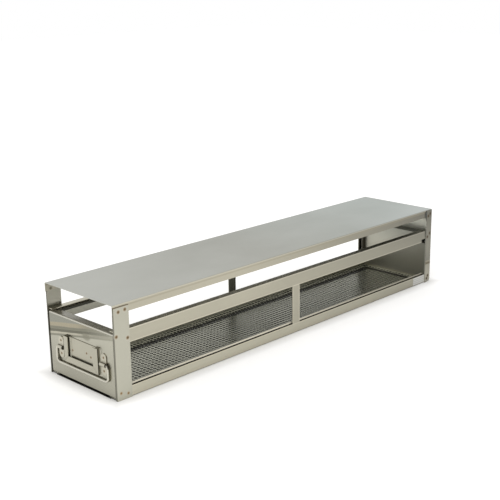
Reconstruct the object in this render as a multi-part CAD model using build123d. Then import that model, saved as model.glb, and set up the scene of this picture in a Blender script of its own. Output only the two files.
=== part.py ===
from build123d import *
import os

# A stainless sheet-metal freezer rack: an open housing with one drawer, whose front carries a
# card holder and a hanging wire bail.
# Millimetres. X to the right seen from the front, Y to the rear, Z up.
# The origin is at the bottom centre of the housing.

# Overall size
RACK_WIDTH = 143.0
RACK_LENGTH = 673.0
RACK_HEIGHT = 125.5
SHEET = 0.9
BEND = 0.7  # inner radius of a fold

# Housing
COVER_FLANGE = 12.3
POST_SETBACK = 0.8
POST_WIDTH = 23.6
POST_LIP = 3.0  # a post's front edge, turned in below the cover
POST_TOP_GAP = 3.4  # from the top of the rack down to a post's end
SIDE_HEIGHT = 90.5
RAIL_FLANGE = 10.0
MID_RAIL = 18.2
BOTTOM_RAIL = 14.5
BOTTOM_FLANGE = 13.0
MID_POST_WIDTH = 15.3
MID_POST_OFFSET = 3.9  # ahead of the middle on the right, behind it on the left
WINDOW_LAP = 1.5  # how far a post covers the end of a window
BACK_FLANGE = 16.0
BACK_CORNER_RISE = 5.5
BACK_CORNER_RUN = 12.0
BACK_BEAD_HEIGHT = 35.0
BACK_BEAD_WIDTH = 3.0
BACK_BEAD_RISE = 0.6
SILL_WIDTH = 16.0
RELIEF_WIDTH = 1.8  # the slots just ahead of the back flanges
RELIEF_LINK = 2.5  # metal left beyond a slot's end
RAIL_SLOT = 10.0
RAIL_NOTCH_LENGTH = 10.7
RAIL_NOTCH_HEIGHT = 4.8
LABEL_LENGTH = 31.0
LABEL_HEIGHT = 14.0
LABEL_THICKNESS = 0.1
LABEL_GAP = 0.3  # between the label and the back flange

# Drawer
DRAWER_SIDE_GAP = 2.6
DRAWER_SETBACK = 1.5
DRAWER_REAR_GAP = 2.1
DRAWER_LIFT = 0.3  # running clearance over the housing's bottom flanges
DRAWER_HEIGHT = 85.8
DRAWER_TOP_BAND = 14.6
DRAWER_BOTTOM_BAND = 16.3
DRAWER_TOP_FLANGE = 6.0
DRAWER_BOTTOM_FLANGE = 13.0
DRAWER_FRONT_STRIP = 12.6
DRAWER_REAR_STRIP = 7.1
DRAWER_MID_POST = 12.7
DRAWER_NOTCH = 5.0
FRONT_RAISE = 2.2  # the front plate's lower edge above the drawer's underside
FRONT_BEND = 1.2
FRONT_FLANGE = 13.0
BACK_TOP_FLANGE = 21.0
BACK_BOTTOM_FLANGE = 18.5
FLANGE_GAP = 0.6  # between flanges that meet in a corner
FLOOR_GAP = 0.1  # between the floor's edges and the folds around it
FLOOR_HOLE = 20.0
FLOOR_PITCH = 26.0
FLOOR_BORDER = 6.0

# Fittings on the drawer front
FITTINGS_OFFSET = 2.3  # their centre line, to the right of the rack's
HOLDER_WIDTH = 71.8
HOLDER_HEIGHT = 35.5
HOLDER_BASE = 26.5
HOLDER_DEPTH = 3.9
HOLDER_SIDE_LIP = 9.4
HOLDER_BOTTOM_LIP = 9.3
HOLDER_MITRE_GAP = 0.4
BRACKET_SPACING = 90.0
BRACKET_WIDTH = 10.6
BRACKET_LENGTH = 29.0
BRACKET_SHEET = 1.0
BRACKET_FILLET = 0.6
PIVOT_HEIGHT = 43.3
BAIL_WIRE = 3.2
BAIL_CLEARANCE = 0.3  # behind the wire
BORE_CLEARANCE = 0.1  # around the wire in its knuckles
BAIL_SPAN = 107.6  # between the centres of its legs
BAIL_DROP = 21.6
BAIL_CORNER = 6.0
LINK_OUT = 2.0  # the short slant between a pivot and a leg
LINK_DOWN = 4.0
LINK_RADIUS = 1.9
PIVOT_TAIL = 1.0  # wire past the inner end of a knuckle

# Weld spots: diameter and depth, then places (to the rear, up) from where the middle of a
# strip crosses the middle of a seam
SPOT = 2.8
SPOT_DEPTH = 0.15
POST_COVER_SPOTS = ((-4.2, -3.7), (6.0, -2.5))
POST_RAIL_SPOTS = ((-8.9, 3.4), (8.4, -2.0))
POST_BOTTOM_SPOTS = ((-5.7, 2.3), (5.5, -0.7))
BACK_COVER_SPOTS = ((-2.9, -4.4), (2.6, -1.0))
BACK_RAIL_SPOTS = ((-3.7, -2.0), (2.4, 3.4))
BACK_BOTTOM_SPOTS = ((-1.6, -0.9), (1.0, 3.6))
HOLDER_SPOTS = ((-20.0, 18.4), (9.9, 22.1), (18.6, 18.9))  # from the middle of its lower edge
BRACKET_SPOT_OFFSET = 9.0

# Places that follow from the sizes
HALF_WIDTH = RACK_WIDTH / 2
FRONT = -RACK_LENGTH / 2
REAR = RACK_LENGTH / 2
WEB_OUT = HALF_WIDTH - SHEET  # outer face of the side panels and the cover's flanges
WEB_IN = WEB_OUT - SHEET
COVER_FLANGE_BOTTOM = RACK_HEIGHT - COVER_FLANGE
POST_FRONT = FRONT + POST_SETBACK
POST_REAR = POST_FRONT + POST_WIDTH
SIDE_FRONT = POST_FRONT + SHEET + BEND
SIDE_REAR = REAR - SHEET - BEND
RAIL_FLANGE_EDGE = WEB_OUT - RAIL_FLANGE
BACK_FLANGE_FRONT = REAR - BACK_FLANGE
COVER_SEAM = RACK_HEIGHT - COVER_FLANGE / 2
RAIL_SEAM = SIDE_HEIGHT - MID_RAIL / 2
BOTTOM_SEAM = BOTTOM_RAIL / 2

DRAWER_HALF = WEB_IN - DRAWER_SIDE_GAP
DRAWER_IN = DRAWER_HALF - SHEET
DRAWER_FRONT = FRONT + DRAWER_SETBACK
DRAWER_REAR = REAR - SHEET - DRAWER_REAR_GAP
DRAWER_BOTTOM = SHEET + DRAWER_LIFT
DRAWER_TOP = DRAWER_BOTTOM + DRAWER_HEIGHT
DRAWER_SIDE_TOP = DRAWER_TOP - SHEET
FLANGE_EDGE = DRAWER_HALF - DRAWER_BOTTOM_FLANGE
FLOOR_BOTTOM = DRAWER_BOTTOM + SHEET

HOLDER_FRONT = DRAWER_FRONT - HOLDER_DEPTH
WIRE_RADIUS = BAIL_WIRE / 2
PIVOT_Y = DRAWER_FRONT - BAIL_CLEARANCE - WIRE_RADIUS
BORE_RADIUS = WIRE_RADIUS + BORE_CLEARANCE
KNUCKLE_RADIUS = BORE_RADIUS + BRACKET_SHEET


def block(x0, x1, y0, y1, z0, z1):
    """A box between two corners."""
    centre = Pos((x0 + x1) / 2, (y0 + y1) / 2, (z0 + z1) / 2)
    return centre * Box(x1 - x0, y1 - y0, z1 - z0)


def plane_at_y(y):
    """The upright plane across the rack: local x to the right, local y up."""
    return Plane(origin=(0, y, 0), x_dir=(1, 0, 0), z_dir=(0, -1, 0))


def plane_at_x(x):
    """The upright plane along the rack: local x to the rear, local y up."""
    return Plane(origin=(x, 0, 0), x_dir=(0, 1, 0), z_dir=(1, 0, 0))


def folded(points, bend=BEND):
    """The section of a bent sheet, from the corners of its middle line."""
    line = FilletPolyline(*points, radius=bend + SHEET / 2)
    return trace(line, SHEET)


def sideways(solid, side):
    """The piece as it lies on the right for side 1, or its mirror image on the left for -1."""
    return solid if side > 0 else mirror(solid, about=Plane.YZ)


def side_spots(outer_x, seams):
    """Shallow round dimples in the outer face of an upright strip on the right side."""
    dimples = []
    for middle_y, seam_z, spots in seams:
        for back, up in spots:
            dimple = Rot(0, 90, 0) * Cylinder(SPOT / 2, 2 * SPOT_DEPTH)
            dimples.append(Pos(outer_x, middle_y + back, seam_z + up) * dimple)
    return dimples


def front_spots(face_y, places):
    """Shallow round dimples in a face that looks to the front."""
    dimple = Rot(90, 0, 0) * Cylinder(SPOT / 2, 2 * SPOT_DEPTH)
    return [Pos(x, face_y, z) * dimple for x, z in places]


def top_cover():
    """One sheet over the whole rack, with both long edges folded down."""
    middle = SHEET / 2
    edge = WEB_OUT - middle
    top = RACK_HEIGHT - middle
    points = (
        (-edge, COVER_FLANGE_BOTTOM),
        (-edge, top),
        (edge, top),
        (edge, COVER_FLANGE_BOTTOM),
    )
    section = plane_at_y(FRONT) * folded(points)
    cover = extrude(section, RACK_LENGTH - SHEET, dir=(0, 1, 0))
    slot = block(
        -HALF_WIDTH,
        HALF_WIDTH,
        BACK_FLANGE_FRONT - RELIEF_WIDTH,
        BACK_FLANGE_FRONT,
        COVER_FLANGE_BOTTOM - SHEET,
        RACK_HEIGHT - RELIEF_LINK,
    )
    corners = block(
        -HALF_WIDTH,
        HALF_WIDTH,
        REAR - SHEET - BEND,
        REAR,
        COVER_FLANGE_BOTTOM - SHEET,
        RACK_HEIGHT - SHEET,
    )
    return cover - slot - corners


def front_post(side):
    """A strip outside the side panel and the cover's flange, with a narrow lip in front."""
    middle_x = HALF_WIDTH - SHEET / 2
    middle_y = POST_FRONT + SHEET / 2
    points = (
        (HALF_WIDTH - POST_LIP, middle_y),
        (middle_x, middle_y),
        (middle_x, POST_REAR),
    )
    lipped = extrude(folded(points), COVER_FLANGE_BOTTOM)
    top = RACK_HEIGHT - POST_TOP_GAP
    strip = lipped + block(WEB_OUT, HALF_WIDTH, POST_FRONT, POST_REAR, COVER_FLANGE_BOTTOM, top)
    middle = (POST_FRONT + POST_REAR) / 2
    seams = (
        (middle, COVER_SEAM, POST_COVER_SPOTS),
        (middle, RAIL_SEAM, POST_RAIL_SPOTS),
        (middle, BOTTOM_SEAM, POST_BOTTOM_SPOTS),
    )
    return sideways(strip - side_spots(HALF_WIDTH, seams), side)


def side_panel(side):
    """One blank: two rails, a mid post and two windows, with both long edges folded in."""
    middle = SHEET / 2
    points = (
        (RAIL_FLANGE_EDGE, SIDE_HEIGHT - middle),
        (WEB_OUT - middle, SIDE_HEIGHT - middle),
        (WEB_OUT - middle, middle),
        (WEB_OUT - BOTTOM_FLANGE, middle),
    )
    section = plane_at_y(SIDE_FRONT) * folded(points)
    panel = extrude(section, SIDE_REAR - SIDE_FRONT, dir=(0, 1, 0))
    post_middle = -side * MID_POST_OFFSET
    rail_bottom = SIDE_HEIGHT - MID_RAIL
    windows = (
        (POST_REAR - WINDOW_LAP, post_middle - MID_POST_WIDTH / 2),
        (post_middle + MID_POST_WIDTH / 2, BACK_FLANGE_FRONT + WINDOW_LAP),
    )
    for start, end in windows:
        panel -= block(WEB_IN - SHEET, HALF_WIDTH, start, end, BOTTOM_RAIL, rail_bottom)
    slot_front = BACK_FLANGE_FRONT - RELIEF_WIDTH
    panel -= block(
        RAIL_FLANGE_EDGE - SHEET,
        HALF_WIDTH,
        slot_front,
        BACK_FLANGE_FRONT,
        SIDE_HEIGHT - RAIL_SLOT,
        SIDE_HEIGHT + SHEET,
    )
    panel -= block(
        RAIL_FLANGE_EDGE - SHEET,
        HALF_WIDTH,
        slot_front,
        REAR,
        SIDE_HEIGHT - SHEET - BEND,
        SIDE_HEIGHT + SHEET,
    )
    panel -= block(
        WEB_IN - SHEET,
        HALF_WIDTH,
        BACK_FLANGE_FRONT - RAIL_NOTCH_LENGTH,
        BACK_FLANGE_FRONT + WINDOW_LAP,
        rail_bottom - SHEET,
        rail_bottom + RAIL_NOTCH_HEIGHT,
    )
    return sideways(panel, side)


def back_panel():
    """A solid sheet that closes the rear, folded forward outside both side panels."""
    middle = SHEET / 2
    edge = HALF_WIDTH - middle
    rear = REAR - middle
    points = (
        (-edge, BACK_FLANGE_FRONT),
        (-edge, rear),
        (edge, rear),
        (edge, BACK_FLANGE_FRONT),
    )
    panel = extrude(folded(points), RACK_HEIGHT - SHEET)
    corner = REAR - BACK_CORNER_RUN
    curve = ThreePointArc(
        (corner, 0),
        (REAR - BACK_CORNER_RUN * 0.35, BACK_CORNER_RISE * 0.36),
        (REAR, BACK_CORNER_RISE),
    )
    below = Polyline((REAR, BACK_CORNER_RISE), (REAR + SHEET, -SHEET), (corner, -SHEET), (corner, 0))
    cut = plane_at_x(0) * make_face(curve + below)
    panel -= extrude(cut, HALF_WIDTH + SHEET, both=True)
    middle_y = (BACK_FLANGE_FRONT + REAR) / 2
    seams = (
        (middle_y, COVER_SEAM, BACK_COVER_SPOTS),
        (middle_y, RAIL_SEAM, BACK_RAIL_SPOTS),
        (middle_y, BOTTOM_SEAM, BACK_BOTTOM_SPOTS),
    )
    for side in (-1, 1):
        for dimple in side_spots(HALF_WIDTH, seams):
            panel -= sideways(dimple, side)
        panel += sideways(back_bead(), side)
    return panel


def back_bead():
    """A low weld bead across the back flange on the right side."""
    foot = HALF_WIDTH - SHEET / 2
    half = BACK_BEAD_WIDTH / 2
    arc = ThreePointArc(
        (HALF_WIDTH, BACK_BEAD_HEIGHT - half),
        (HALF_WIDTH + BACK_BEAD_RISE, BACK_BEAD_HEIGHT),
        (HALF_WIDTH, BACK_BEAD_HEIGHT + half),
    )
    base = Polyline(
        (HALF_WIDTH, BACK_BEAD_HEIGHT + half),
        (foot, BACK_BEAD_HEIGHT + half),
        (foot, BACK_BEAD_HEIGHT - half),
        (HALF_WIDTH, BACK_BEAD_HEIGHT - half),
    )
    section = plane_at_y(BACK_FLANGE_FRONT) * make_face(arc + base)
    return extrude(section, BACK_FLANGE - SHEET - BEND, dir=(0, 1, 0))


def sill(front_y):
    """A flat tie between the two bottom flanges."""
    edge = WEB_OUT - BOTTOM_FLANGE
    return block(-edge, edge, front_y, front_y + SILL_WIDTH, 0, SHEET)


def label_sticker():
    """A blank label on the right bottom rail, close to the back flange."""
    rear = BACK_FLANGE_FRONT - LABEL_GAP
    base = (BOTTOM_RAIL - LABEL_HEIGHT) / 2
    front = rear - LABEL_LENGTH
    lower = max(base, SHEET + BEND)
    return block(WEB_OUT, WEB_OUT + LABEL_THICKNESS, front, rear, lower, base + LABEL_HEIGHT)


def drawer_front():
    """The front plate, with its upper edge folded back over the side flanges."""
    middle = SHEET / 2
    face = DRAWER_FRONT + middle
    points = (
        (face, DRAWER_BOTTOM + FRONT_RAISE),
        (face, DRAWER_TOP - middle),
        (DRAWER_FRONT + FRONT_FLANGE, DRAWER_TOP - middle),
    )
    section = plane_at_x(0) * folded(points, FRONT_BEND)
    return extrude(section, DRAWER_HALF, both=True)


def drawer_side(side):
    """A channel with inward flanges, cut out to two bands, end strips and a mid post."""
    middle = SHEET / 2
    points = (
        (FLANGE_EDGE, DRAWER_BOTTOM + middle),
        (DRAWER_HALF - middle, DRAWER_BOTTOM + middle),
        (DRAWER_HALF - middle, DRAWER_SIDE_TOP - middle),
        (DRAWER_HALF - DRAWER_TOP_FLANGE, DRAWER_SIDE_TOP - middle),
    )
    start = DRAWER_FRONT + SHEET
    end = DRAWER_REAR - SHEET
    section = plane_at_y(start) * folded(points)
    channel = extrude(section, end - start, dir=(0, 1, 0))
    post_middle = (DRAWER_FRONT + DRAWER_REAR) / 2
    window_bottom = DRAWER_BOTTOM + DRAWER_BOTTOM_BAND
    window_top = DRAWER_SIDE_TOP - DRAWER_TOP_BAND
    window_end = end - DRAWER_REAR_STRIP
    windows = (
        (start + DRAWER_FRONT_STRIP, post_middle - DRAWER_MID_POST / 2),
        (post_middle + DRAWER_MID_POST / 2, window_end),
    )
    web = (DRAWER_IN - SHEET, DRAWER_HALF + SHEET)
    for near, far in windows:
        channel -= block(*web, near, far, window_bottom, window_top)
    notch_bottom = window_bottom - DRAWER_NOTCH
    channel -= block(*web, window_end - DRAWER_NOTCH, window_end, notch_bottom, window_bottom + SHEET)
    full = (FLANGE_EDGE - SHEET, DRAWER_HALF + SHEET)
    above = DRAWER_SIDE_TOP + SHEET
    channel -= block(*full, start - SHEET, start + FRONT_BEND, DRAWER_SIDE_TOP - FRONT_BEND, above)
    channel -= block(*full, end - BEND, end + SHEET, DRAWER_SIDE_TOP - BEND, above)
    return sideways(channel, side)


def drawer_back():
    """The rear wall, its upper edge over the side flanges and its lower edge between them."""
    middle = SHEET / 2
    wall = DRAWER_REAR - middle
    top = DRAWER_TOP - middle
    bottom = DRAWER_BOTTOM + middle
    points = (
        (DRAWER_REAR - BACK_BOTTOM_FLANGE, bottom),
        (wall, bottom),
        (wall, top),
        (DRAWER_REAR - BACK_TOP_FLANGE, top),
    )
    back = extrude(plane_at_x(0) * folded(points), DRAWER_HALF, both=True)
    for side in (-1, 1):
        corner = block(
            FLANGE_EDGE - FLANGE_GAP,
            DRAWER_HALF + SHEET,
            DRAWER_REAR - BACK_BOTTOM_FLANGE - SHEET,
            DRAWER_REAR - SHEET,
            DRAWER_BOTTOM - SHEET,
            DRAWER_BOTTOM + SHEET + BEND,
        )
        back -= sideways(corner, side)
    return back


def perforated_floor():
    """A flat sheet with straight rows of round holes, lying on the drawer's bottom flanges."""
    half = DRAWER_IN - BEND - FLOOR_GAP
    start = DRAWER_FRONT + SHEET + FLOOR_GAP
    end = DRAWER_REAR - SHEET - BEND - FLOOR_GAP
    sheet = block(-half, half, start, end, FLOOR_BOTTOM, FLOOR_BOTTOM + SHEET)
    columns = int((2 * (half - FLOOR_BORDER) - FLOOR_HOLE) / FLOOR_PITCH) + 1
    rows = int((end - start - 2 * FLOOR_BORDER - FLOOR_HOLE) / FLOOR_PITCH) + 1
    middle = (start + end) / 2
    holes = []
    for column in range(columns):
        for row in range(rows):
            x = (column - (columns - 1) / 2) * FLOOR_PITCH
            y = middle + (row - (rows - 1) / 2) * FLOOR_PITCH
            holes.append(Pos(x, y, FLOOR_BOTTOM + SHEET / 2) * Cylinder(FLOOR_HOLE / 2, 2 * SHEET))
    return sheet - holes


def card_holder():
    """One folded sheet: a back plate and a lip on each side and below, open at the top."""
    middle = SHEET / 2
    half = HOLDER_WIDTH / 2
    left = FITTINGS_OFFSET - half
    right = FITTINGS_OFFSET + half
    top = HOLDER_BASE + HOLDER_HEIGHT
    plate = DRAWER_FRONT - middle
    lip = HOLDER_FRONT + middle
    across = (
        (left + HOLDER_SIDE_LIP, lip),
        (left + middle, lip),
        (left + middle, plate),
        (right - middle, plate),
        (right - middle, lip),
        (right - HOLDER_SIDE_LIP, lip),
    )
    sides = extrude(Pos(0, 0, HOLDER_BASE) * folded(across), HOLDER_HEIGHT)
    upward = (
        (plate, top),
        (plate, HOLDER_BASE + middle),
        (lip, HOLDER_BASE + middle),
        (lip, HOLDER_BASE + HOLDER_BOTTOM_LIP),
    )
    bottom = extrude(plane_at_x(left) * folded(upward), HOLDER_WIDTH)
    return mitred(sides, bottom, left, right, top)


def mitred(sides, bottom, left, right, top):
    """Joins the side lips and the bottom lip on their plate, parted along the corner diagonals."""
    gap = HOLDER_MITRE_GAP / 2
    slope = HOLDER_HEIGHT
    under = Polyline(
        (left + gap, HOLDER_BASE),
        (right - gap, HOLDER_BASE),
        (right - gap - slope, HOLDER_BASE + slope),
        (left + gap + slope, HOLDER_BASE + slope),
        close=True,
    )
    wedge = plane_at_y(HOLDER_FRONT) * make_face(under)
    outer = Polyline(
        (left - gap, HOLDER_BASE),
        (right + gap, HOLDER_BASE),
        (right + gap - slope, HOLDER_BASE + slope),
        (left - gap + slope, HOLDER_BASE + slope),
        close=True,
    )
    opening = plane_at_y(HOLDER_FRONT) * make_face(outer)
    depth = HOLDER_DEPTH - SHEET
    low_lip = bottom & extrude(wedge, depth, dir=(0, 1, 0))
    side_lips = sides - extrude(opening, depth, dir=(0, 1, 0))
    plate = block(left + SHEET, right - SHEET, DRAWER_FRONT - SHEET, DRAWER_FRONT, HOLDER_BASE + SHEET, top)
    holder = side_lips + low_lip + plate
    places = [(FITTINGS_OFFSET + x, HOLDER_BASE + z) for x, z in HOLDER_SPOTS]
    return holder - front_spots(DRAWER_FRONT - SHEET, places)


def handle_bracket(side):
    """An upright strap with round ends, bulged in the middle to hold the bail's pivot."""
    middle = FITTINGS_OFFSET + side * BRACKET_SPACING / 2
    face = DRAWER_FRONT - BRACKET_SHEET
    half = BRACKET_LENGTH / 2
    strip = Pos(DRAWER_FRONT - BRACKET_SHEET / 2, PIVOT_HEIGHT) * Rectangle(BRACKET_SHEET, BRACKET_LENGTH)
    depth = DRAWER_FRONT - PIVOT_Y
    centre = Pos(PIVOT_Y, PIVOT_HEIGHT)
    behind = Pos(PIVOT_Y + depth / 2, PIVOT_HEIGHT)
    bulge = centre * Circle(KNUCKLE_RADIUS) + behind * Rectangle(depth, 2 * KNUCKLE_RADIUS)
    bore = centre * Circle(BORE_RADIUS) + behind * Rectangle(depth, 2 * BORE_RADIUS)
    outline = strip + (bulge & Pos(DRAWER_FRONT - half, PIVOT_HEIGHT) * Rectangle(2 * half, 2 * half))
    feet = [v for v in outline.vertices() if abs(v.X - face) < 0.01 and abs(v.Y - PIVOT_HEIGHT) < half - 1]
    outline = fillet(feet, BRACKET_FILLET) - bore
    strap = extrude(plane_at_x(middle) * outline, BRACKET_WIDTH / 2, both=True)
    pill = Pos(middle, PIVOT_HEIGHT) * SlotOverall(BRACKET_LENGTH, BRACKET_WIDTH, 90)
    strap = strap & extrude(plane_at_y(DRAWER_FRONT) * pill, BRACKET_LENGTH, both=True)
    spots = [(middle, PIVOT_HEIGHT + up * BRACKET_SPOT_OFFSET) for up in (-1, 1)]
    return strap - front_spots(face, spots)


def bail_handle():
    """Round wire: two pivots, short slants, two legs and a straight grip below."""
    leg = BAIL_SPAN / 2
    pivot = leg - LINK_OUT
    tail = BRACKET_SPACING / 2 - BRACKET_WIDTH / 2 - PIVOT_TAIL
    right_half = (
        (tail, 0),
        (pivot, 0),
        (leg, -LINK_DOWN),
        (leg, -BAIL_DROP),
    )
    left_half = tuple((-x, z) for x, z in reversed(right_half))
    radii = (LINK_RADIUS, LINK_RADIUS, BAIL_CORNER, BAIL_CORNER, LINK_RADIUS, LINK_RADIUS)
    place = Pos(FITTINGS_OFFSET, PIVOT_Y, PIVOT_HEIGHT)
    route = [(x, 0, z) for x, z in right_half + left_half]
    path = FilletPolyline(*route, radius=radii)
    section = Plane(origin=(tail, 0, 0), z_dir=(1, 0, 0)) * Circle(WIRE_RADIUS)
    return place * sweep(section, path)


parts = {
    "top_cover": top_cover(),
    "front_post_left": front_post(-1),
    "front_post_right": front_post(1),
    "side_panel_left": side_panel(-1),
    "side_panel_right": side_panel(1),
    "back_panel": back_panel(),
    "front_sill": sill(FRONT + SHEET),
    "rear_sill": sill(REAR - SHEET - SILL_WIDTH),
    "label_sticker": label_sticker(),
    "drawer_front": drawer_front(),
    "drawer_side_left": drawer_side(-1),
    "drawer_side_right": drawer_side(1),
    "drawer_back": drawer_back(),
    "perforated_floor": perforated_floor(),
    "card_holder": card_holder(),
    "handle_bracket_left": handle_bracket(-1),
    "handle_bracket_right": handle_bracket(1),
    "bail_handle": bail_handle(),
}

os.makedirs("parts", exist_ok=True)
for name, shape in parts.items():
    export_step(shape, f"parts/{name}.step")
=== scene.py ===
import math

import bmesh
import bpy
from mathutils import Matrix, Vector


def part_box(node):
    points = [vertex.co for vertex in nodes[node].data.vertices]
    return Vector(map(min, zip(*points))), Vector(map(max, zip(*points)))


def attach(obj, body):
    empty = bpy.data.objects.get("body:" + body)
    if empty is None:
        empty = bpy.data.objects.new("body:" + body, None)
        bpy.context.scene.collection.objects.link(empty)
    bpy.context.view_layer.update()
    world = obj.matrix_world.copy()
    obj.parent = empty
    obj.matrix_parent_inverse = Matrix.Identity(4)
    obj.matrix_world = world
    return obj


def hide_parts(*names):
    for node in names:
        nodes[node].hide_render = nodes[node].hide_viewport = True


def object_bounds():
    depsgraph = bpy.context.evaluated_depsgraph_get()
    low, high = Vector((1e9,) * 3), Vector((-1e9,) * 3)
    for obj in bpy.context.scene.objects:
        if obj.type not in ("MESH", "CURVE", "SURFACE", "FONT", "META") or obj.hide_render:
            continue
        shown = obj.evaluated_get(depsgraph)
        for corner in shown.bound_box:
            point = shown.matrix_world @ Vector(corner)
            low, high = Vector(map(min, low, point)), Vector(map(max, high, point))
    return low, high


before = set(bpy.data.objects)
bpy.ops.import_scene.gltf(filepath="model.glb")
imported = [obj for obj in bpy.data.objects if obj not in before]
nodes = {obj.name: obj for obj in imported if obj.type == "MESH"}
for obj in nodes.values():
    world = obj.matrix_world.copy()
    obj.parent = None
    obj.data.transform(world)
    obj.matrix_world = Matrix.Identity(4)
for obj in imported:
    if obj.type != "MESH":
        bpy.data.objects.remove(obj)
cad_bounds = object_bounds()

# All sizes are in metres, in the rack's own frame: X to the right, Y to the rear, Z up.
MM = 0.001

# The camera stands where the photograph was taken from
CAMERA_PLACE = (0.9786, -1.0202, 0.5111)
CAMERA_AZIMUTH = 44.56
CAMERA_ELEVATION = 15.78
CAMERA_ROLL = -0.75
CAMERA_LENS = 71.0
CAMERA_SENSOR = 36.0
CAMERA_NEAR = 0.01

# The floor: how far it reaches and how low it lies. Its own light lets it meet the white room,
# and comes up between these distances from the rack, so that the shadow stays; left out under the
# rack, it leaves painted shade there.
FLOOR_REACH = 6.0
FLOOR_DROP = 0.2 * MM
FLOOR_LIFT = 0.36
FLOOR_FADE = (-4.0 * MM, 18.0 * MM)

# The lamps: the point they look at, and how wide they are
LAMP_TARGET = (0.0, 0.0, 0.05)
LAMP_SIZE = 1.4

# Perforated sheet: round holes in straight rows
HOLE_DIAMETER = 4.76 * MM
HOLE_PITCH = 6.35 * MM
HOLE_SEGMENTS = 12  # a multiple of 4
SHEET_BORDER = 1.0 * MM

# How many features of the grain a metre holds along X, Y and Z
COVER_GRAIN = (1300.0, 10.0, 1300.0)
ALONG = (900.0, 12.0, 900.0)
UPRIGHT = (900.0, 900.0, 14.0)
LEVEL = (14.0, 900.0, 900.0)
SMUDGES = (14.0, 9.0, 14.0)
WAVER = (22.0, 22.0, 120.0)
PAPER_FIBRE = (900.0, 900.0, 900.0)

# Sheet steel: the streaks' and smudges' share of its colour, how far its roughness varies and
# what share of it a full polish takes away, and the strength and depth of its grain
STREAK_TONE = 0.96
SMUDGE_TONE = 0.95
ROUGH_SPREAD = 0.04
POLISH_SHARE = 0.75
GRAIN_STRENGTH = 0.06
GRAIN_DEPTH = 0.05 * MM

# Painted shade tones that several pieces share
BLACK_SHADE = (0.01, 0.01, 0.008)
DEEP_SHADE = (0.03, 0.03, 0.024)
REAR_SHADE_TONE = (0.12, 0.118, 0.099)

# Heat marks of a spot weld, from the pale ring inward: where each is full and where it ends,
# in millimetres from the middle, its colour and its strength
SPOT_MARKS = (
    (2.4, 3.6, (0.56, 0.54, 0.46), 0.5),
    (1.1, 2.9, (0.25, 0.17, 0.09), 0.85),
    (0.3, 1.8, (0.1, 0.065, 0.03), 0.85),
)

# Weld spots, in millimetres (to the rear, up) from where a strip's middle crosses a seam
SEAMS = {"cover": 119.35, "rail": 81.4, "bottom": 7.25}
POST_SPOTS = {
    "cover": ((-4.2, -3.7), (6.0, -2.5)),
    "rail": ((-8.9, 3.4), (8.4, -2.0)),
    "bottom": ((-5.7, 2.3), (5.5, -0.7)),
}
BACK_SPOTS = {
    "cover": ((-2.9, -4.4), (2.6, -1.0)),
    "rail": ((-3.7, -2.0), (2.4, 3.4)),
    "bottom": ((-1.6, -0.9), (1.0, 3.6)),
}
# From the middle of the card holder's lower edge, (to the right, up)
HOLDER_SPOTS = ((-20.0, 18.4), (9.9, 22.1), (18.6, 18.9))
# Above and below the middle of a bracket
BRACKET_SPOTS = (-9.0, 9.0)
# From a post's outer face to the cover's inner one
WELDED_THICKNESS = 1.8 * MM

# Where painted light and shade along the rack begin and end
FRONT_END = -330.0 * MM
REAR_END = 330.0 * MM

# The side panels: the height of the bottom rail, the windows' lower and upper ends, the heights
# of the cut edges, and the mid post's two edges, measured to the rear on the right-hand panel
# and to the front on the other; painted highlights run along the cut edges and the mid post's
# edges
BOTTOM_RAIL = 14.5 * MM
WINDOW = (16.0 * MM, 71.0 * MM)
CUT_EDGES = (14.0 * MM, 72.8 * MM, 89.7 * MM)
MID_POST_EDGES = (-11.0 * MM, 3.2 * MM)
# No higher than this, a face that looks up or forward is one of the bottom flange, painted in
# shade
BOTTOM_FLANGE = 5.0 * MM

# The drawer sides: where the strip with a painted highlight begins and ends, above the painted
# shade along the foot, and the height from which a face that looks up is one of the top flange,
# which is painted in shade
STRIP_FOOT = 14.9 * MM
STRIP_TOP = 19.0 * MM
TOP_FLANGE = 80.0 * MM

# The row of holes that lies over the inner edges of the drawer's side and rear flanges, which is
# painted in shade: how far from the rack's middle its middle lies, and half its width
SIDE_ROW = 47.6 * MM
END_ROW = 317.0 * MM
ROW_HALF = 4.6 * MM
# The perforated sheet's front edge
SHEET_FRONT = -333.5 * MM

# The smudge on the drawer front: its middle and its radii, across and up
SMUDGE_MIDDLE = (11.8 * MM, 70.4 * MM)
SMUDGE_RADII = (8.5 * MM, 4.8 * MM)

# Painted reflection bands on the drawer front, standing in for its mirrored surroundings: they
# rise to the right and waver a little; each has its lower and upper side in millimetres at the
# middle of the rack, its colour, and whether it ends half way
BAND_SLOPE = 0.19
BAND_WAVER = 2.4 * MM
REFLECTION_BANDS = (
    (84.5, 110.0, (0.25, 0.25, 0.212), False),
    (79.0, 84.5, (0.21, 0.2, 0.155), False),
    (79.0, 84.5, (0.345, 0.312, 0.228), True),
    (75.5, 79.0, (0.19, 0.185, 0.14), False),
    (71.4, 75.5, (0.13, 0.127, 0.095), False),
    (68.8, 71.4, (0.25, 0.24, 0.19), False),
    (68.8, 71.4, (0.43, 0.41, 0.33), True),
    (66.0, 68.8, (0.22, 0.215, 0.17), False),
)

# The label's ruled lines
RULE_PITCH = 3.2 * MM


def middle(name):
    """The centre of a node's box."""
    low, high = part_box(name)
    return (low + high) / 2


# Places on the nodes themselves
POST_MIDDLE = middle("front_post_right").y
POST_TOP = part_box("front_post_right")[1].z
BACK_MIDDLE = middle("back_panel").y
BACK_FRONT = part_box("back_panel")[0].y
DRAWER_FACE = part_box("drawer_front")[0].y


# Node trees


def add_node(tree, kind, settings=None, **inputs):
    """A shader node, with its settings and its inputs set or linked by name or number."""
    node = tree.nodes.new(kind)
    for key, value in (settings or {}).items():
        setattr(node, key, value)
    for key, value in inputs.items():
        name = int(key[1:]) if key[0] == "i" and key[1:].isdigit() else key.replace("_", " ")
        socket = node.inputs[name]
        if isinstance(value, bpy.types.NodeSocket):
            tree.links.new(value, socket)
        else:
            socket.default_value = value
    return node


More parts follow.
